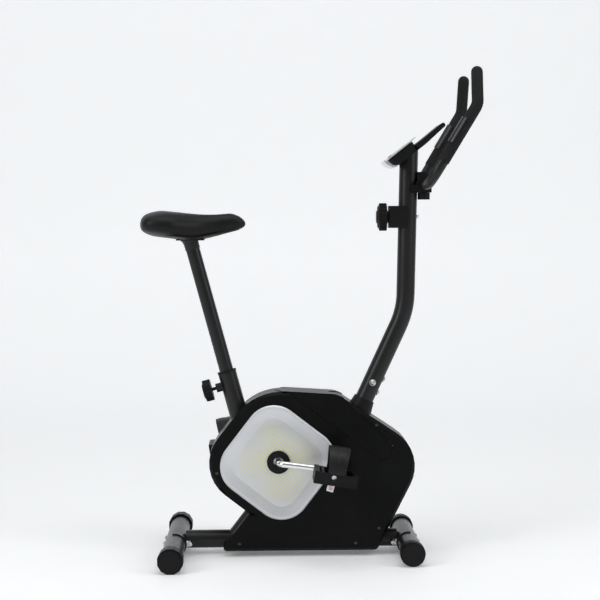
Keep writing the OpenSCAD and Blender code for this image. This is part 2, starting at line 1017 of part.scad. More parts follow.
module idler_arm() {
    mount_at = [8, 118];
    color("#3a3a3c")
        difference() {
            union() {
                slab(tube_r + 0.2, tube_r + 4)
                    hull() {
                        translate(mount_at) circle(r = 9);
                        translate(idler_c) circle(r = 9);
                    }
                across(idler_c, tube_r + 1, belt_y[1] + 1, 4);
            }
            across(mount_at, 0, 60, 4);
        }
}

module idler_wheel() {
    color("#b8babd")
        difference() {
            across(idler_c, belt_y[0], belt_y[1], idler_r);
            across(idler_c, 30, 60, 4 + running);
        }
}

// Sector of a ring around the flywheel, between two radii and two angles
module rim_sector(r0, r1, from, to) {
    n = 16;
    arc = [for (i = [0:n]) from + (to - from) * i / n];
    translate(flywheel_c)
        polygon(concat([for (a = arc) r1 * [cos(a), sin(a)]],
            [for (i = [n:-1:0]) r0 * [cos(arc[i]), sin(arc[i])]]));
}

module magnet_bracket() {
    r0 = flywheel_r + magnet_gap + magnet_t;
    color("#8c8e92")
        difference() {
            union() {
                slab(wheel_y[0], wheel_y[1])
                    rim_sector(r0, r0 + magnet_plate_t, magnet_arc[0], 96);
                slab(wheel_y[0], wheel_y[1])
                    hull() {
                        translate(magnet_pivot) circle(r = 9);
                        rim_sector(r0, r0 + magnet_plate_t, 94, 96);
                    }
            }
            across(magnet_pivot, -60, 0, magnet_pin_r + running);
        }
}

module magnets() {
    r0 = flywheel_r + magnet_gap;
    step = (magnet_arc[1] - magnet_arc[0]) / 4;
    color("#4a4c50")
        slab(wheel_y[0], wheel_y[1])
            for (i = [0:3])
                rim_sector(r0, r0 + magnet_t - air, magnet_arc[0] + step * i + 1,
                    magnet_arc[0] + step * i + 10);
}

module speed_sensor() {
    color("#0c0c0d")
        translate([-20, 16.2, 231])
            cube([22, 17, 14]);
}

// ---------- Seat ----------

module seat_bush() {
    pin_at = seat_top - pin_drop * seat_dir;
    color("#0c0c0d")
        difference() {
            union() {
                rod(at3(seat_top - bush_depth * seat_dir), at3(seat_top + seat_dir),
                    tube_r - tube_wall - 0.02);
                rod(at3(seat_top + 0.1 * seat_dir), at3(seat_top + 5 * seat_dir), tube_r + 0.8);
            }
            rod(at3(seat_top - 100 * seat_dir), at3(seat_top + 10 * seat_dir), seat_post_r + running);
            rod(at3(pin_at), at3(pin_at + 40 * seat_back), pin_r + running);
        }
}

module seat_post() {
    pin_at = seat_top - pin_drop * seat_dir;
    head = seat_top + seat_post_up * seat_dir;
    color("#1c1c1e")
        difference() {
            union() {
                rod(at3(seat_top - seat_post_in * seat_dir), at3(head), seat_post_r);
                translate([head.x - 34, -30, 772.6])
                    cube([68, 60, 3]);
            }
            rod(at3(seat_top - 200 * seat_dir), at3(head - 6 * seat_dir), seat_post_r - 1.8);
            for (k = [-2:5])
                rod(at3(pin_at + k * hole_pitch * seat_dir),
                    at3(pin_at + k * hole_pitch * seat_dir + 30 * seat_back), pin_r + 0.5);
            translate([head.x - 60, -40, 775.6])
                cube([120, 80, 30]);
        }
}

// Shallow moulded pan under the cushion
module saddle_base() {
    color("#0c0c0d")
        hull() {
            translate([0, 0, 775.9])
                linear_extrude(height = 1)
                    hull() {
                        for (s = [-1, 1])
                            translate([saddle_rear.x + 52, s * 16]) circle(r = 16, $fn = 32);
                        translate([saddle_nose.x - 86, 0]) circle(r = 12, $fn = 32);
                    }
            translate([0, 0, 780.9])
                linear_extrude(height = 3)
                    hull() {
                        for (s = [-1, 1])
                            translate([saddle_rear.x + 26, s * 34]) circle(r = 32, $fn = 32);
                        translate([saddle_nose.x - 54, 0]) circle(r = 18, $fn = 32);
                    }
        }
}

// Plain solid of the cushion: two rear lobes and a nose
module saddle() {
    color("#161618")
        difference() {
            hull() {
                for (s = [-1, 1])
                    translate([saddle_rear.x, s * 46, saddle_rear.y])
                        scale([1, 1, 0.58])
                            sphere(r = saddle_lobe_r, $fn = 32);
                translate([saddle_nose.x, 0, saddle_nose.y])
                    scale([1, 1, 0.62])
                        sphere(r = 26.5, $fn = 32);
            }
            translate([-500, -200, 684.2])
                cube([500, 400, 100]);
        }
}

// Round lobed knob with its stop pin, drawn back clear of the post's holes
module seat_knob() {
    pin_at = seat_top - pin_drop * seat_dir;
    color("#141416")
        translate(at3(pin_at))
            rotate([0, -90 - seat_lean, 0]) {
                translate([0, 0, knob_reach[0]])
                    lobed_knob(seat_knob_r, knob_reach[1] - knob_reach[0] - 3, 8);
                translate([0, 0, knob_reach[1] - 3.1])
                    cylinder(h = 3.1, r1 = 20, r2 = 17);
                translate([0, 0, seat_post_r + 0.6])
                    cylinder(h = 40, r = pin_r);
            }
}

// ---------- Handlebar and console ----------

// Path of one side of the bar, from its straight middle to the end
function bar_path() = concat([[bar_low.x, -60, bar_low.z]],
    bend([bar_low.x, 0, bar_low.z], bar_low, bar_high, 44, 10),
    bend(bar_low, bar_high, bar_end, 34, 8), [bar_end]);

// Path of a grip, which covers the upper part of the bar
function grip_path() = let (start = bar_low + grip_start * (bar_high - bar_low))
    concat([start], bend(bar_low, bar_high, bar_end, 34, 8), [bar_end]);

bar_ref = [0.86, 0, -0.51];

module handlebar() {
    color("#1a1a1c") {
        across(bar_c, -64, 64, bar_r);
        for (s = [0, 1])
            mirror([0, s, 0])
                sweep(bar_path(), bar_r - 0.1, 24, bar_ref);
    }
}

// Foam sleeve closed by a dome over the end of the bar
module grips() {
    path = grip_path();
    n = len(path);
    dir = tangent(path, n - 1);
    module grip() {
        skin(concat(
            [ring(bar_end + dir, dir, bar_r + 0.2, 24, bar_ref)],
            [for (i = [n - 1:-1:0]) ring(path[i], tangent(path, i), bar_r + 0.2, 24, bar_ref)],
            [for (i = [0:n - 1]) ring(path[i], tangent(path, i), grip_r, 24, bar_ref)],
            [for (a = [20:15:80])
                ring(bar_end + grip_r * sin(a) * dir, dir, grip_r * cos(a), 24, bar_ref)]));
    }
    color("#151517") {
        grip();
        mirrored() grip();
    }
}

// Hand-pulse contacts clipped on the rider's side of the grips
module pulse_sensors() {
    dir = unit(bar_high - bar_low);
    from = bar_low + 0.5 * (bar_high - bar_low);
    module sensor() {
        difference() {
            rod(from, from + 66 * dir, grip_r + 2.4);
            rod(from - dir, from + 67 * dir, grip_r + 0.1);
            translate(from)
                rotate([0, acos(dir.z), atan2(dir.y, dir.x)])
                    translate([-4, -50, -5])
                        cube([100, 100, 80]);
        }
    }
    color("#8a8c90") {
        sensor();
        mirrored() sensor();
    }
}

// Lower half of the clamp, welded to the front of the post
module handlebar_clamp() {
    color("#101012")
        difference() {
            union() {
                translate([249, -26, 886])
                    cube([50, 52, 18.8]);
                translate([249, -27, 893])
                    rotate([0, -14, 0])
                        cube([26, 54, 4]);
            }
            across(bar_c, -40, 40, bar_r + running);
            post_tube(tube_r + weld_gap);
            rod([bar_c.x, 0, 870], [bar_c.x, 0, 900], pin_r + running);
        }
}

module clamp_cover() {
    color("#141416")
        difference() {
            union() {
                across(bar_c, -25, 25, 21);
                hull() {
                    translate([267, -22, 906]) cube([14, 44, 10]);
                    translate([264, -18, 930]) cube([24, 36, 6]);
                    translate([268, -22, 918]) cube([28, 44, 4]);
                }
            }
            across(bar_c, -40, 40, bar_r + running);
            translate([220, -50, 805.1])
                cube([120, 100, 100]);
            post_tube(tube_r + weld_gap);
        }
}

module clamp_knob() {
    color("#101012")
        translate([bar_c.x, 0, 869]) {
            lobed_knob(15, 16.5, 6);
            cylinder(h = bar_c.y - bar_r - 869 - 0.4, r = pin_r);
        }
}

// Rounded plate in the console's own plane
module console_plate(x0, x1, w, z0, z1, r) {
    translate([0, 0, z0])
        linear_extrude(height = z1 - z0)
            translate([x0 + r, -w / 2 + r])
                offset(r = r, $fn = 32)
                    square([x1 - x0 - 2 * r, w - 2 * r]);
}

module console_back() {
    color("#101012")
        console_frame()
            difference() {
                hull() {
                    console_plate(1, console_len, console_w, -8, -3.1, 8);
                    console_plate(4, console_len, console_w - 4, -20, -18, 8);
                    console_plate(16, console_len, console_w - 10, -console_t, -console_t + 1, 8);
                }
                translate([8, -console_w / 2 + 6, -console_t + 3])
                    cube([console_len - 14, console_w - 12, console_t]);
            }
}

module console_bezel() {
    w = console_w + 4;
    color("#c9cbce")
        console_frame()
            difference() {
                union() {
                    console_plate(-5, console_len, w, -3, 0, 9);
                    console_plate(40, lip_len, w - 8, -2, 0, 6);
                    rotate([90, 0, 0])
                        translate([0, 0, -w / 2 + 10])
                            linear_extrude(height = w - 20)
                                polygon(rounded([[-9, 2], [0.6, -0.5], [0.6, -8.5], [3.4, -20], [11.2, -26.5],
                                    [9.5, -29.5], [0.5, -24], [-6.5, -12]],
                                    [1, 0.3, 2, 4, 0.5, 0.5, 6, 6], 4));
                }
                translate([lens_mid - lens_size.x / 2 - 0.2, -lens_size.y / 2 - 0.2, -5])
                    cube([lens_size.x + 0.4, lens_size.y + 0.4, 10]);
                translate([button_at, 0, -5])
                    cylinder(h = 10, r = button_r + air);
            }
}

module console_lens() {
    color("#2b3136")
        console_frame()
            translate([lens_mid - lens_size.x / 2, -lens_size.y / 2, -3])
                cube([lens_size.x, lens_size.y, 2.6]);
}

module console_button() {
    color("#b3262b")
        console_frame()
            translate([button_at, 0, -4.5])
                cylinder(h = 6.3, r = button_r);
}

// Ledge for a tablet behind the console's lip
module tablet_rest() {
    color("#101012")
        console_frame()
            rotate([90, 0, 0])
                translate([0, 0, -console_w / 2])
                    linear_extrude(height = console_w)
                        polygon(rounded([[console_len + 0.3, -15], [162, -13.5], [162, -24],
                            [96, -29], [console_len + 0.3, -29]], [1, 4.5, 4.5, 6, 1], 6));
}

base_rail();
rear_strut();
seat_tube();
crank_shell();
cross_tube();
post_stub();
flywheel_carrier();
rear_stabiliser();
front_stabiliser();
stabiliser_bolts();
seat_bush();
housing_right();
housing_left();
top_fairing();
side_plate_right();
side_plate_left();
hub_covers();
housing_screws();
post_boot();
handlebar_post();
post_bolts();
tension_housing();
tension_cable();
bearings();
idler_arm();
handlebar_clamp();
clamp_cover();
console_back();
console_bezel();
console_lens();
tablet_rest();
speed_sensor();
drive_belt();
crank();
drive_pulley();
pedal_spindles();
flywheel();
flywheel_shaft();
flywheel_pulley();
idler_wheel();
magnet_bracket();
magnets();
pedal_right();
pedal_left();
strap_right();
strap_left();
seat_post();
saddle_base();
saddle();
seat_knob();
handlebar();
grips();
pulse_sensors();
clamp_knob();
tension_knob();
console_button();
front_wheel_right();
front_wheel_left();
rear_cap_right();
rear_cap_left();
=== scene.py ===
import json
import math

import bmesh
import bpy
from mathutils import Matrix, Vector


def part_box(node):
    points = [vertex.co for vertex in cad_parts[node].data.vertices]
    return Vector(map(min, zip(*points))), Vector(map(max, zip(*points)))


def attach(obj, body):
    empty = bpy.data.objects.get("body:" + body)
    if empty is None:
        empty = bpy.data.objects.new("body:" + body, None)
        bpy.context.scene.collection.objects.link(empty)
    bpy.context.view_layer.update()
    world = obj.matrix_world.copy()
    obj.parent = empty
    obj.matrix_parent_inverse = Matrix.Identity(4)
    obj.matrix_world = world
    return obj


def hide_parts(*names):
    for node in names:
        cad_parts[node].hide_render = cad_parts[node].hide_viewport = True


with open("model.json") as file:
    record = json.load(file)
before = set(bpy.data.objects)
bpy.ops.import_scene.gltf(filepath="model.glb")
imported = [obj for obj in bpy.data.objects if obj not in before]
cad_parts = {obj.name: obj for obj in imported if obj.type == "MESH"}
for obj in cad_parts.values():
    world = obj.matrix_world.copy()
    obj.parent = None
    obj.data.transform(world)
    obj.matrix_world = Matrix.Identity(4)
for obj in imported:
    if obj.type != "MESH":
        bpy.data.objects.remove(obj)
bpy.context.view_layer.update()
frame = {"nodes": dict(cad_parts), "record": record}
nodes = frame["nodes"]
scene = bpy.context.scene

MM = 0.001


# ---------- Camera ----------

CAMERA_PLACE = (-0.0945, -3.6566, 0.8144)
CAMERA_LENS = 89.55
CAMERA_TURN = [math.radians(a) for a in (1.131, -2.968, -0.342)]


def make_camera():
    """Straight side view from the rider's right, a little above the floor."""
    yaw, pitch, roll = CAMERA_TURN
    fw = Vector((math.sin(yaw) * math.cos(pitch), math.cos(yaw) * math.cos(pitch), math.sin(pitch)))
    right = Vector((math.cos(yaw), -math.sin(yaw), 0))
    up = right.cross(fw)
    r2 = right * math.cos(roll) + up * math.sin(roll)
    u2 = -right * math.sin(roll) + up * math.cos(roll)
    data = bpy.data.cameras.new("camera")
    data.sensor_width = 36
    data.lens = CAMERA_LENS
    data.clip_end = 60
    cam = bpy.data.objects.new("camera", data)
    scene.collection.objects.link(cam)
    turn = Matrix((r2, u2, -fw)).transposed()
    cam.matrix_world = Matrix.Translation(CAMERA_PLACE) @ turn.to_4x4()
    scene.camera = cam


make_camera()


# ---------- Materials ----------

class Graph:
    """A material's node tree with short calls for the nodes it needs."""

    def __init__(self, name):
        self.mat = bpy.data.materials.new(name)
        self.mat.use_nodes = True
        self.tree = self.mat.node_tree
        self.bsdf = self.tree.nodes["Principled BSDF"]
        self.coord = self.tree.nodes.new("ShaderNodeTexCoord").outputs["Object"]

    def node(self, kind, **inputs):
        n = self.tree.nodes.new(kind)
        for key, value in inputs.items():
            self.put(n, key.replace("_", " "), value)
        return n

    def put(self, n, key, value):
        socket = n.inputs[int(key)] if key.isdigit() else n.inputs[key]
        if isinstance(value, bpy.types.NodeSocket):
            self.tree.links.new(value, socket)
        else:
            socket.default_value = value

    def set(self, key, value):
        self.put(self.bsdf, key, value)

    def noise(self, scale, detail=3.0, rough=0.6, stretch=None):
        n = self.node("ShaderNodeTexNoise", Scale=scale, Detail=detail, Roughness=rough)
        vec = self.coord
        if stretch:
            m = self.node("ShaderNodeMapping", Vector=self.coord)
            m.inputs["Scale"].default_value = stretch
            vec = m.outputs[0]
        self.put(n, "Vector", vec)
        return n.outputs[0]

    def cells(self, scale):
        n = self.node("ShaderNodeTexVoronoi", Scale=scale)
        self.put(n, "Vector", self.coord)
        return n.outputs["Distance"]

    def math(self, op, a, b=0.0, c=0.0):
        n = self.tree.nodes.new("ShaderNodeMath")
        n.operation = op
        for i, v in enumerate((a, b, c)):
            self.put(n, str(i), v)
        return n.outputs[0]

    def remap(self, value, lo, hi, to_lo, to_hi):
        n = self.tree.nodes.new("ShaderNodeMapRange")
        for i, v in enumerate((value, lo, hi, to_lo, to_hi)):
            self.put(n, str(i), v)
        return n.outputs[0]

    def mix(self, factor, a, b):
        n = self.tree.nodes.new("ShaderNodeMix")
        n.data_type = "RGBA"
        self.put(n, "0", factor)
        for key, v in (("6", a), ("7", b)):
            self.put(n, key, v if isinstance(v, bpy.types.NodeSocket) else (*v, 1))
        return n.outputs[2]

    def bump(self, height, distance, strength=1.0, normal=None):
        n = self.node("ShaderNodeBump", Height=height, Distance=distance, Strength=strength)
        if normal is not None:
            self.put(n, "Normal", normal)
        return n.outputs[0]


def finish_material(name, color, rough, metal=0.0, grain=(1400, 0.00004), vary=0.15, spread=0.06,
                    spec=0.5, coat=0.0, coat_rough=0.2, cells=None, stretch=None, dust=0.0):
    """Plastic, paint, metal or rubber with colour drift, grain and uneven gloss."""
    g = Graph(name)
    drift = g.noise(9, 4)
    dark = tuple(c * (1 - vary) for c in color)
    light = tuple(min(1, c * (1 + vary) + 0.002) for c in color)
    tone = g.mix(g.remap(drift, 0.3, 0.7, 0, 1), dark, light)
    if dust:
        specks = g.remap(g.noise(420, 2, 0.7), 0.66, 0.78, 0, dust)
        tone = g.mix(specks, tone, (0.35, 0.35, 0.35))
    g.set("Base Color", tone)
    fine = g.noise(grain[0], 2, 0.55, stretch)
    g.set("Roughness", g.remap(g.math("ADD", g.noise(38, 5), g.math("MULTIPLY", fine, 0.4)),
                               0.4, 1.0, rough - spread, rough + spread))
    height = fine
    if cells:
        height = g.math("ADD", g.math("MULTIPLY", g.cells(cells), 1.4), g.math("MULTIPLY", fine, 0.3))
    g.set("Normal", g.bump(height, grain[1]))
    g.set("Metallic", metal)
    g.set("Specular IOR Level", spec)
    g.set("Coat Weight", coat)
    g.set("Coat Roughness", coat_rough)
    return g


HUB = (-0.078, 0.233)
DOT_PITCH = 0.0066
DOT_YELLOW = (0.74, 0.70, 0.03)
# Distance from the hub over which the dots shrink, and their radius there as a share of a cell
DOT_REACH = (0.02, 0.105)
DOT_SIZE = (0.30, 0.24)
# Distance from the hub at which the dots begin to fade out
DOT_FADE = 0.07
# Painted shade on the plate's dish: its mid radius, half width, darkest share and shade colour
DISH_RADIUS = 0.088
DISH_HALF = 0.03
PAINTED_SHADE_SHARE = 0.42
PAINTED_DISH_SHADE = (0.36, 0.37, 0.39)


def silver_plate_material():
    """Silver lacquer with painted shade on a shallow dish, and a halftone of yellow dots that fade away from
    the hub.
    """
    g = finish_material("silver_dots", (0.66, 0.67, 0.69), 0.36, metal=0.45, grain=(1900, 0.00002),
                        vary=0.03, spread=0.04)
    lacquer = g.bsdf.inputs["Base Color"].links[0].from_socket
    place = g.node("ShaderNodeSeparateXYZ", Vector=g.coord)
    x = g.math("SUBTRACT", place.outputs[0], HUB[0])
    z = g.math("SUBTRACT", place.outputs[2], HUB[1])
    u = g.math("DIVIDE", g.math("ADD", x, z), DOT_PITCH * math.sqrt(2))
    v = g.math("DIVIDE", g.math("SUBTRACT", x, z), DOT_PITCH * math.sqrt(2))
    cu = g.math("SUBTRACT", g.math("FRACT", g.math("ADD", u, 100.0)), 0.5)
    cv = g.math("SUBTRACT", g.math("FRACT", g.math("ADD", v, 100.0)), 0.5)
    reach = g.math("SQRT", g.math("ADD", g.math("MULTIPLY", cu, cu), g.math("MULTIPLY", cv, cv)))
    away = g.math("SQRT", g.math("ADD", g.math("MULTIPLY", x, x), g.math("MULTIPLY", z, z)))
    # Painted shade on the dish: darker where the metal turns down towards the hub on the upper and front
    # side
    slope = g.math("DIVIDE", g.math("ADD", x, g.math("MULTIPLY", z, 0.6)), away)
    from_mid = g.math("DIVIDE", g.math("SUBTRACT", away, DISH_RADIUS), DISH_HALF)
    band = g.math("SUBTRACT", 1.0, g.math("ABSOLUTE", from_mid))
    shadow = g.math("MULTIPLY", g.math("MAXIMUM", band, 0.0), g.remap(slope, -1.1, 1.1, 0.0, PAINTED_SHADE_SHARE))
    lacquer_with_painted_shade = g.mix(shadow, lacquer, PAINTED_DISH_SHADE)
    patch = g.math("ADD", away, g.math("MULTIPLY", g.math("SUBTRACT", g.noise(22, 3), 0.5), 0.05))
    size = g.remap(patch, *DOT_REACH, *DOT_SIZE)
    dot = g.remap(g.math("SUBTRACT", size, reach), 0.0, 0.05, 0, 0.95)
    dot = g.math("MULTIPLY", dot, g.remap(patch, DOT_FADE, DOT_REACH[1], 1, 0))
    g.set("Base Color", g.mix(dot, lacquer_with_painted_shade, DOT_YELLOW))
    return g


def saddle_material():
    """Smooth vinyl: a fine leather grain with soft wrinkles."""
    g = finish_material("saddle_vinyl", (0.007, 0.007, 0.0075), 0.42, grain=(2400, 0.00003),
                        vary=0.2, spread=0.05, spec=0.16, coat=0.03, coat_rough=0.35)
    grain = g.cells(900)
    folds = g.noise(46, 4, 0.6)
    height = g.math("ADD", g.math("MULTIPLY", grain, 0.35), g.math("MULTIPLY", folds, 1.2))
    g.set("Normal", g.bump(height, 0.00022))
    return g


def display_material():
    """Grey display behind a clear, glossy window."""
    return finish_material("display", (0.10, 0.115, 0.12), 0.16, grain=(2500, 0.00001), vary=0.08,
                           spread=0.03, coat=1.0, coat_rough=0.03)


FINISHES = {
    "black_paint": dict(color=(0.0065, 0.0065, 0.007), rough=0.36, grain=(1500, 5e-05), vary=0.2,
        spread=0.05, spec=0.3, coat=0.05, coat_rough=0.3, dust=0.04),
    "dark_paint": dict(color=(0.0075, 0.0075, 0.008), rough=0.34, grain=(1300, 5e-05), vary=0.2,
        spread=0.05, spec=0.35, coat=0.08, coat_rough=0.25, dust=0.06),
    "zinc": dict(color=(0.66, 0.67, 0.69), rough=0.26, metal=1, grain=(900, 3e-05), vary=0.12, spread=0.08),
    "black_plastic": dict(color=(0.006, 0.006, 0.0065), rough=0.44, grain=(2200, 7e-05), spec=0.16,
        cells=1500, dust=0.03),
    "shell_plastic": dict(color=(0.0028, 0.0029, 0.003), rough=0.33, grain=(2000, 3e-05), spread=0.05,
        spec=0.09, cells=1300, dust=0.015),
    "silver_plastic": dict(color=(0.72, 0.73, 0.75), rough=0.3, metal=0.7, grain=(1900, 2e-05), vary=0.04,
        spread=0.05),
    "dark_steel": dict(color=(0.07, 0.07, 0.075), rough=0.36, metal=0.8, grain=(900, 4e-05), vary=0.2,
        spread=0.08),
    "bearing_steel": dict(color=(0.6, 0.61, 0.63), rough=0.24, metal=1, grain=(1100, 3e-05), vary=0.1,
        spread=0.07, stretch=(1, 14, 1)),
    "belt_rubber": dict(color=(0.012, 0.012, 0.012), rough=0.7, grain=(1200, 0.0001)),
    "chrome_steel": dict(color=(0.82, 0.83, 0.85), rough=0.09, metal=1, grain=(600, 1e-05), vary=0.04,
        spread=0.04),
    "pulley_plastic": dict(color=(0.03, 0.03, 0.032), rough=0.5, grain=(1600, 6e-05)),
    "wheel_iron": dict(color=(0.22, 0.22, 0.23), rough=0.42, metal=0.9, grain=(700, 6e-05), vary=0.2,
        spread=0.1, stretch=(1, 10, 1)),
    "strap_rubber": dict(color=(0.006, 0.006, 0.0065), rough=0.42, grain=(1500, 8e-05), vary=0.2, spec=0.3,
        cells=1100),
    "grip_foam": dict(color=(0.0055, 0.0055, 0.006), rough=0.72, grain=(1300, 0.00022), vary=0.25,
        spread=0.05, spec=0.25, cells=900, dust=0.03),
    "sensor_steel": dict(color=(0.05, 0.05, 0.054), rough=0.3, metal=0.8, grain=(1000, 3e-05), vary=0.1,
        spread=0.08, spec=0.4, stretch=(1, 1, 12)),
    "red_plastic": dict(color=(0.45, 0.02, 0.025), rough=0.28, grain=(1800, 2e-05)),
}
MATERIALS = {name: finish_material(name, **values) for name, values in FINISHES.items()}
MATERIALS["display_window"] = display_material()
MATERIALS["saddle_cover"] = saddle_material()
SILVER_DOTS = silver_plate_material()

slot_of = {s["node"]: s["material_slot"] for s in frame["record"]["subparts"]}


def shade(mesh, angle=32):
    mesh.shade_smooth()
    mesh.set_sharp_from_angle(angle=math.radians(angle))


def dress(obj, material):
    obj.data.materials.clear()
    obj.data.materials.append(material)


# Width of the rounding that each hard-edged moulding or plate gets, in millimetres
EDGES = {"housing_right": 2.4, "housing_left": 2.4, "top_fairing": 1.4, "side_plate_right": 1.6,
         "side_plate_left": 1.6, "tension_housing": 1.0, "handlebar_clamp": 1.0, "clamp_cover": 1.2,
         "console_back": 1.2, "console_bezel": 0.8, "tablet_rest": 0.8, "pedal_right": 0.9,
         "pedal_left": 0.9, "tension_knob": 0.6,
         "seat_knob": 0.8, "clamp_knob": 0.6, "rear_cap_right": 0.8, "rear_cap_left": 0.8,
         "front_wheel_right": 0.5, "front_wheel_left": 0.5, "saddle_base": 1.0, "hub_covers": 0.5,
         "stabiliser_bolts": 0.3, "post_bolts": 0.3, "seat_bush": 0.4, "seat_post": 0.3}

# Faces closer in angle than the first are merged, and edges sharper than the second are rounded
FLAT_ANGLE = math.radians(0.6)
EDGE_ANGLE = math.radians(28)

for name, obj in nodes.items():
    dress(obj, MATERIALS[slot_of[name]].mat)
    shade(obj.data)
    if name in EDGES:
        flat = obj.modifiers.new("merge", "DECIMATE")
        flat.decimate_type = "DISSOLVE"
        flat.angle_limit = FLAT_ANGLE
        edge = obj.modifiers.new("edge", "BEVEL")
        edge.width = EDGES[name] * MM
        edge.segments = 3
        edge.limit_method = "ANGLE"
        edge.angle_limit = EDGE_ANGLE
        edge.harden_normals = True
for name in ("side_plate_right", "side_plate_left"):
    dress(nodes[name], SILVER_DOTS.mat)


# ---------- Pieces made here ----------

def add_piece(name, mesh, body, slot, *replaced):
    obj = bpy.data.objects.new(name, mesh)
    scene.collection.objects.link(obj)
    dress(obj, MATERIALS[slot].mat)
    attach(obj, body)
    if replaced:
        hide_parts(*replaced)
    return obj


def loft(name, rings):
    """Closed mesh over rings of equal length, with a fan at either end."""
    bm = bmesh.new()
    loops = [[bm.verts.new(p) for p in ring] for ring in rings]
    n = len(rings[0])
    for a, b in zip(loops, loops[1:]):
        for i in range(n):
            bm.faces.new((a[i], a[(i + 1) % n], b[(i + 1) % n], b[i]))
    for ring in (loops[0], loops[-1]):
        mid = bm.verts.new(sum((v.co for v in ring), Vector()) / n)
        for i in range(n):
            bm.faces.new((ring[i], ring[(i + 1) % n], mid))
    bmesh.ops.recalc_face_normals(bm, faces=bm.faces)
    mesh = bpy.data.meshes.new(name)
    bm.to_mesh(mesh)
    bm.free()
    return mesh


def blend_table(table, x):
    """Smooth curve through rows of (x, value, ...)."""
    k = max(i for i, row in enumerate(table[:-1]) if row[0] <= x)
    a, b = table[k], table[k + 1]
    before, after = table[max(k - 1, 0)], table[min(k + 2, len(table) - 1)]
    step = b[0] - a[0]
    t = (x - a[0]) / step
    values = []
    for p, q, o, r in zip(a[1:], b[1:], before[1:], after[1:]):
        m0 = (q - o) / (b[0] - before[0]) * step
        m1 = (r - p) / (after[0] - a[0]) * step
        values.append((2 * t ** 3 - 3 * t ** 2 + 1) * p + (t ** 3 - 2 * t ** 2 + t) * m0
                      + (3 * t ** 2 - 2 * t ** 3) * q + (t ** 3 - t ** 2) * m1)
    return values


def settle(obj, pressure, limit, frames=20):
    """Blow the pad up a little as cloth, and cap how far a point may move."""
    before = [v.co.copy() for v in obj.data.vertices]
    cloth = obj.modifiers.new("fill", "CLOTH")
    s = cloth.settings
    s.quality = 5
    s.mass = 0.2
    s.tension_stiffness = 14
    s.compression_stiffness = 14
    s.shear_stiffness = 5
    s.bending_stiffness = 0.6
    s.use_pressure = True
    s.uniform_pressure_force = pressure
    s.effector_weights.gravity = 0
    cloth.collision_settings.use_collision = False
    cloth.point_cache.frame_start = 1
    cloth.point_cache.frame_end = frames
    for i in range(1, frames + 1):
        scene.frame_set(i)
    graph = bpy.context.evaluated_depsgraph_get()
    swollen = obj.evaluated_get(graph).to_mesh()
    after = [v.co.copy() for v in swollen.vertices]
    obj.evaluated_get(graph).to_mesh_clear()
    obj.modifiers.remove(cloth)
    scene.frame_set(1)
    for v, a, b in zip(obj.data.vertices, before, after):
        move = b - a
        if move.length > limit:
            move *= limit / move.length
        v.co = a + move


# The saddle along its length: distance from the rear, half width, top, underside, crown of the section
SADDLE = [(0, 22, 819, 804, 0.9), (5, 60, 830, 795, 0.9), (16, 82, 838, 790, 0.9),
          (32, 92, 841, 787, 0.9), (54, 96, 842, 784, 0.88), (78, 92, 840, 781, 0.85),
          (94, 85, 838.5, 779, 0.83), (118, 70, 836, 777, 0.81), (141, 56, 834, 776.5, 0.8),
          (167, 43, 833.5, 782, 0.8), (188, 36, 834, 787, 0.82), (206, 32, 835, 792, 0.84),
          (226, 29, 835, 797, 0.88), (246, 24, 830, 802, 0.92), (256, 17, 823, 805, 0.95),
          (261, 9, 816, 808, 1.0)]


# Rings along the saddle and points around each
SADDLE_STEPS = 34
SADDLE_ROUND = 40
GROOVE_DEPTH = 3.2
GROOVE_HALF = 13
SADDLE_VOXEL = 0.005
# Cloth pressure, and how far it may move a point
SADDLE_PRESSURE = 4.0
SADDLE_SWELL = 0.004


def make_saddle():
    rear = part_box("saddle")[0][0]
    rings = []
    last = SADDLE[-1][0]
    for k in range(SADDLE_STEPS + 1):
        x = last * (1 - math.cos(math.pi * k / SADDLE_STEPS)) / 2
        half, top, under, power = blend_table(SADDLE, min(x, last - 0.01))
        mid = (top + under) / 2
        ring = []
        for i in range(SADDLE_ROUND):
            a = 2 * math.pi * i / SADDLE_ROUND
            c, s = math.cos(a), math.sin(a)
            y = half * math.copysign(abs(c) ** 0.8, c)
            rise = (top - mid) * math.copysign(abs(s) ** power, s)
            if s < 0:
                rise = (mid - under) * math.copysign(abs(s) ** 0.55, s)
            groove = GROOVE_DEPTH * math.exp(-(y / GROOVE_HALF) ** 2) * max(0, s)
            groove *= max(0, min(1, (x - 30) / 60)) * max(0, min(1, (235 - x) / 40))
            ring.append(Vector((rear + x * MM + MM, y * MM, (mid + rise - groove) * MM)))
        rings.append(ring)
    obj = add_piece("saddle_cushion", loft("saddle_cushion", rings), "seat", "saddle_cover", "saddle")
    remesh = obj.modifiers.new("even", "REMESH")
    remesh.mode = "VOXEL"
    remesh.voxel_size = SADDLE_VOXEL
    graph = bpy.context.evaluated_depsgraph_get()
    even = bpy.data.meshes.new_from_object(obj.evaluated_get(graph))
    obj.modifiers.clear()
    obj.data = even
    settle(obj, SADDLE_PRESSURE, SADDLE_SWELL)
    low = min(v.co.x for v in obj.data.vertices)
    for v in obj.data.vertices:
        v.co.x += rear - low - MM
    dress(obj, MATERIALS["saddle_cover"].mat)
    obj.data.shade_smooth()
    relax = obj.modifiers.new("relax", "SMOOTH")
    relax.iterations = 4
    relax.factor = 0.5
    sub = obj.modifiers.new("fine", "SUBSURF")
    sub.levels = sub.render_levels = 1


POST_RADIUS = 17
# Where the pan begins from the rear of the saddle, and its length
PAN_START = 34
PAN_LENGTH = 178
PAN_STEPS = 28
PAN_ROUND = 32
SOCKET_ROUND = 48
# Height in metres and radius in millimetres along the socket
SOCKET = ((0.750, 17.15), (0.7508, 17.9), (0.752, 18.3), (0.766, 18.5), (0.773, 20.5), (0.779, 25),
          (0.783, 31))


def around(count):
    """Cosine and sine at even steps around a circle."""
    return [(math.cos(2 * math.pi * i / count), math.sin(2 * math.pi * i / count)) for i in range(count)]


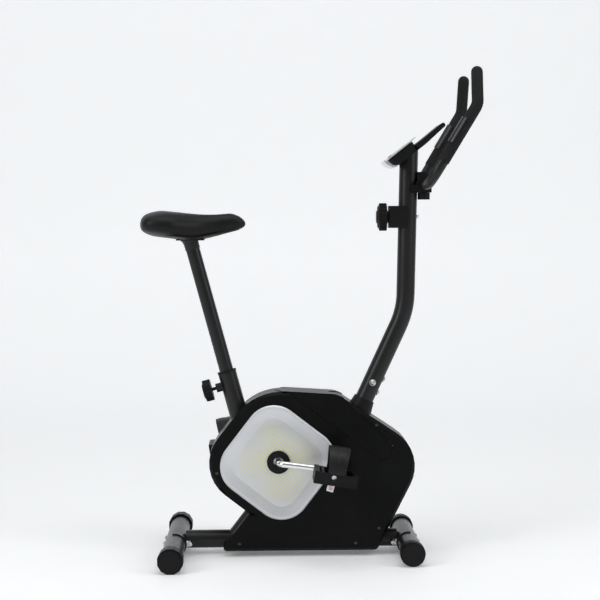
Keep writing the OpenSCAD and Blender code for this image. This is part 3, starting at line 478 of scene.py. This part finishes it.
def make_saddle_pan():
    """Moulded base that follows the cushion's underside, with a flared socket on the seat post."""
    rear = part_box("saddle")[0][0] / MM
    rings = []
    for k in range(PAN_STEPS + 1):
        x = PAN_START + PAN_LENGTH * k / PAN_STEPS
        half, _, under, _ = blend_table(SADDLE, x)
        half *= 0.86 * math.sin(math.pi * (0.14 + 0.72 * k / PAN_STEPS)) ** 0.35
        ring = []
        for c, s in around(PAN_ROUND):
            lip = 2.4 * abs(c) ** 6
            ring.append(Vector(((rear + x) * MM, half * math.copysign(abs(c) ** 0.6, c) * MM,
                                (under + 2.5 + lip + 3.6 * s) * MM)))
        rings.append(ring)
    shell = add_piece("saddle_pan", loft("saddle_pan", rings), "seat", "black_plastic", "saddle_base")
    shell.data.shade_smooth()

    slide = next(j for j in frame["record"]["behaviour"]["joints"] if j["name"] == "seat_height")
    axis = Vector(slide["axis"]).normalized()
    low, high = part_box("seat_post")
    foot = Vector((high[0] - POST_RADIUS * axis.z * MM, 0, low[2] - POST_RADIUS * axis.x * MM))
    side = Vector((0, 1, 0))
    front = side.cross(axis)
    rings = []
    for height, r in SOCKET:
        mid = foot + axis * (height - foot.z) / axis.z
        rings.append([mid + (side * c + front * s) * r * MM for c, s in around(SOCKET_ROUND)])
    socket = add_piece("saddle_socket", loft("saddle_socket", rings), "seat", "black_paint")
    shade(socket.data, 40)


make_saddle()
make_saddle_pan()


def grid_solid(name, outer, inner):
    """Closed sheet between two grids of points of the same size."""
    bm = bmesh.new()
    top = [[bm.verts.new(p) for p in row] for row in outer]
    low = [[bm.verts.new(p) for p in row] for row in inner]
    rows, cols = len(top), len(top[0])
    for i in range(rows - 1):
        for j in range(cols - 1):
            bm.faces.new((top[i][j], top[i][j + 1], top[i + 1][j + 1], top[i + 1][j]))
            bm.faces.new((low[i][j], low[i + 1][j], low[i + 1][j + 1], low[i][j + 1]))
    for i in range(rows - 1):
        for j, k in ((0, i), (cols - 1, i)):
            bm.faces.new((top[k][j], top[k + 1][j], low[k + 1][j], low[k][j]))
    for j in range(cols - 1):
        for i in (0, rows - 1):
            bm.faces.new((top[i][j], top[i][j + 1], low[i][j + 1], low[i][j]))
    bmesh.ops.recalc_face_normals(bm, faces=bm.faces)
    mesh = bpy.data.meshes.new(name)
    bm.to_mesh(mesh)
    bm.free()
    return mesh


PEDAL_WIDTH = 96
STRAP_THICK = 2.6


STRAP_FOOT = 8.5
STRAP_RISE = 60
# Width of a strap at its ends and over the foot, and the middle of its width
STRAP_WIDE = (40, 52)
STRAP_MID = 5
STRAP_GRID = (56, 28)
# Nose-down tilt of each pedal at rest
PEDAL_TILT = {"right": 9, "left": -8}


def make_strap(side):
    """Rubber foot strap: wide over the foot, narrow at its ends, with a groove along its middle."""
    pedal = "right" if side < 0 else "left"
    joint = next(j for j in frame["record"]["behaviour"]["joints"] if j["name"] == f"pedal_{pedal}_spin")
    cx, cz = joint["pos_m"][0] / MM, joint["pos_m"][2] / MM
    lo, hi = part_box(f"pedal_{pedal}")
    start = min(abs(lo[1]), abs(hi[1])) / MM
    tilt = math.radians(PEDAL_TILT[pedal])
    half = PEDAL_WIDTH / 2
    reach = half + 1.8
    rise = STRAP_RISE - STRAP_THICK / 2
    rows, cols = STRAP_GRID
    outer, inner = [], []
    for i in range(rows + 1):
        ang = math.pi * i / rows
        y = half - reach * math.cos(ang)
        z = STRAP_FOOT + rise * math.sin(ang) ** 0.75
        ny, nz = -math.cos(ang) * rise, math.sin(ang) * reach
        size = math.hypot(ny, nz)
        ny, nz = ny / size, nz / size
        bulge = math.sin(ang) ** 1.2
        wide = STRAP_WIDE[0] + (STRAP_WIDE[1] - STRAP_WIDE[0]) * bulge
        row_out, row_in = [], []
        for j in range(cols + 1):
            u = 2 * j / cols - 1
            x = STRAP_MID + u * wide / 2
            groove = 0.9 * math.exp(-(u / 0.07) ** 2) + 0.5 * math.exp(-((abs(u) - 0.8) / 0.06) ** 2)
            roll = 0.8 * abs(u) ** 8
            lift = 1.2 * (1 - u * u) * bulge
            for row, d in ((row_out, STRAP_THICK / 2 - (groove - lift) * min(1, bulge * 4) - roll),
                           (row_in, -STRAP_THICK / 2 + roll * 0.5 + lift)):
                yy, zz = y + ny * d, z + nz * d
                wx = cx + x * math.cos(tilt) + zz * math.sin(tilt)
                wz = cz - x * math.sin(tilt) + zz * math.cos(tilt)
                row.append(Vector((wx * MM, side * (start + yy) * MM, wz * MM)))
        outer.append(row_out)
        inner.append(row_in)
    name = f"foot_strap_{pedal}"
    obj = add_piece(name, grid_solid(name, outer, inner), f"{pedal}_pedal", "strap_rubber", f"strap_{pedal}")
    obj.data.shade_smooth()
    sub = obj.modifiers.new("fine", "SUBSURF")
    sub.levels = sub.render_levels = 1


def rounded_plate(name, wide, tall, thick, radius, place, turn):
    """Flat plate with rounded corners, standing in the XZ plane."""
    bm = bmesh.new()
    pts = []
    for qx, qz, a0 in ((1, 1, 0), (-1, 1, 90), (-1, -1, 180), (1, -1, 270)):
        for k in range(6):
            a = math.radians(a0 + 18 * k)
            pts.append((qx * (wide / 2 - radius) + radius * math.cos(a),
                        qz * (tall / 2 - radius) + radius * math.sin(a)))
    front = [bm.verts.new((x * MM, -thick / 2 * MM, z * MM)) for x, z in pts]
    back = [bm.verts.new((x * MM, thick / 2 * MM, z * MM)) for x, z in pts]
    bm.faces.new(front)
    bm.faces.new(back[::-1])
    for i in range(len(pts)):
        j = (i + 1) % len(pts)
        bm.faces.new((front[i], back[i], back[j], front[j]))
    bmesh.ops.recalc_face_normals(bm, faces=bm.faces)
    mesh = bpy.data.meshes.new(name)
    bm.to_mesh(mesh)
    bm.free()
    spin = Matrix.Rotation(math.radians(turn), 4, "Y")
    mesh.transform(Matrix.Translation([c * MM for c in place]) @ spin)
    return mesh


TAG_XY = (46, -122)
# Width, height, thickness and corner radius of the tag, and its turn about Y in degrees
TAG_SIZE = (17, 21, 0.7, 2)
TAG_TURN = 17


def make_tag():
    """Plain white tag under the right pedal, with unlettered red bars."""
    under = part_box("pedal_right")[0][2] / MM
    place = (TAG_XY[0], TAG_XY[1], under - 8.5)
    obj = add_piece("hang_tag", rounded_plate("hang_tag", *TAG_SIZE, place, TAG_TURN), "right_pedal",
                    "silver_plastic")
    g = finish_material("tag_card", (0.85, 0.85, 0.84), 0.5, grain=(900, 0.00004), vary=0.02, spread=0.05)
    card = g.bsdf.inputs["Base Color"].links[0].from_socket
    spot = g.node("ShaderNodeSeparateXYZ", Vector=g.coord)
    dx = g.math("SUBTRACT", spot.outputs[0], place[0] * MM)
    dz = g.math("SUBTRACT", spot.outputs[2], place[2] * MM)
    bars = g.math("GREATER_THAN", g.math("SINE", g.math("MULTIPLY", dz, 2200.0)), 0.25)
    inside = g.math("MULTIPLY", g.math("LESS_THAN", g.math("ABSOLUTE", dx), 0.0045),
                    g.math("LESS_THAN", g.math("ABSOLUTE", dz), 0.0065))
    g.set("Base Color", g.mix(g.math("MULTIPLY", bars, inside), card, (0.62, 0.10, 0.09)))
    dress(obj, g.mat)


for side in (-1, 1):
    make_strap(side)
make_tag()


# ---------- Floor, backdrop and light ----------

# Light given off by the paper underfoot and by the wall behind
PAPER_GLOW = (0.14, 0.43)
AMBIENT = 0.3


def make_stage():
    mesh = bpy.data.meshes.new("backdrop")
    bm = bmesh.new()
    rows = []
    profile = [(-9, 0), (3.2, 0)]
    for i in range(1, 13):
        a = math.pi / 2 * i / 12
        profile.append((3.2 + 3.0 * math.sin(a), 3.0 * (1 - math.cos(a))))
    profile.append((6.2, 9))
    for y, z in profile:
        rows.append([bm.verts.new((x, y, z)) for x in (-9, 9)])
    for a, b in zip(rows, rows[1:]):
        bm.faces.new((a[0], a[1], b[1], b[0]))
    bm.to_mesh(mesh)
    bm.free()
    mesh.shade_smooth()
    obj = bpy.data.objects.new("backdrop", mesh)
    scene.collection.objects.link(obj)
    g = finish_material("paper", (0.87, 0.88, 0.89), 0.62, grain=(60, 0.0002), vary=0.015,
                        spread=0.05, spec=0.3)
    g.set("Emission Color", (0.95, 0.965, 0.98, 1))
    depth = g.node("ShaderNodeSeparateXYZ", Vector=g.coord).outputs[1]
    g.set("Emission Strength", g.remap(depth, 0.8, 5.0, *PAPER_GLOW))
    dress(obj, g.mat)


def add_light(name, place, aim, size, power):
    data = bpy.data.lights.new(name, "AREA")
    data.shape = "RECTANGLE"
    data.size, data.size_y = size
    data.energy = power
    obj = bpy.data.objects.new(name, data)
    scene.collection.objects.link(obj)
    obj.location = place
    obj.rotation_euler = (Vector(aim) - Vector(place)).to_track_quat("-Z", "Y").to_euler()


# Place, aim, size and power of each softbox
LIGHTS = {"top": ((0.0, -0.6, 3.6), (0, 0, 0.4), (3.6, 2.6), 52),
          "left": ((-3.2, -2.2, 2.3), (0, 0, 0.6), (1.2, 2.6), 62),
          "right": ((3.0, -1.6, 2.2), (0, 0, 0.6), (1.0, 2.4), 36)}


def make_world():
    """Pale to the camera, dim to the surfaces, so that black finishes stay black."""
    world = bpy.data.worlds.new("studio")
    world.use_nodes = True
    tree = world.node_tree
    dim = tree.nodes["Background"]
    dim.inputs[0].default_value = (0.97, 0.985, 1.0, 1)
    dim.inputs[1].default_value = AMBIENT
    pale = tree.nodes.new("ShaderNodeBackground")
    pale.inputs[0].default_value = (0.90, 0.91, 0.92, 1)
    pale.inputs[1].default_value = 1.0
    path = tree.nodes.new("ShaderNodeLightPath")
    mix = tree.nodes.new("ShaderNodeMixShader")
    tree.links.new(path.outputs["Is Camera Ray"], mix.inputs[0])
    tree.links.new(dim.outputs[0], mix.inputs[1])
    tree.links.new(pale.outputs[0], mix.inputs[2])
    tree.links.new(mix.outputs[0], tree.nodes["World Output"].inputs[0])
    scene.world = world


make_stage()
for name, values in LIGHTS.items():
    add_light(name, *values)
make_world()
scene.view_settings.view_transform = "Standard"
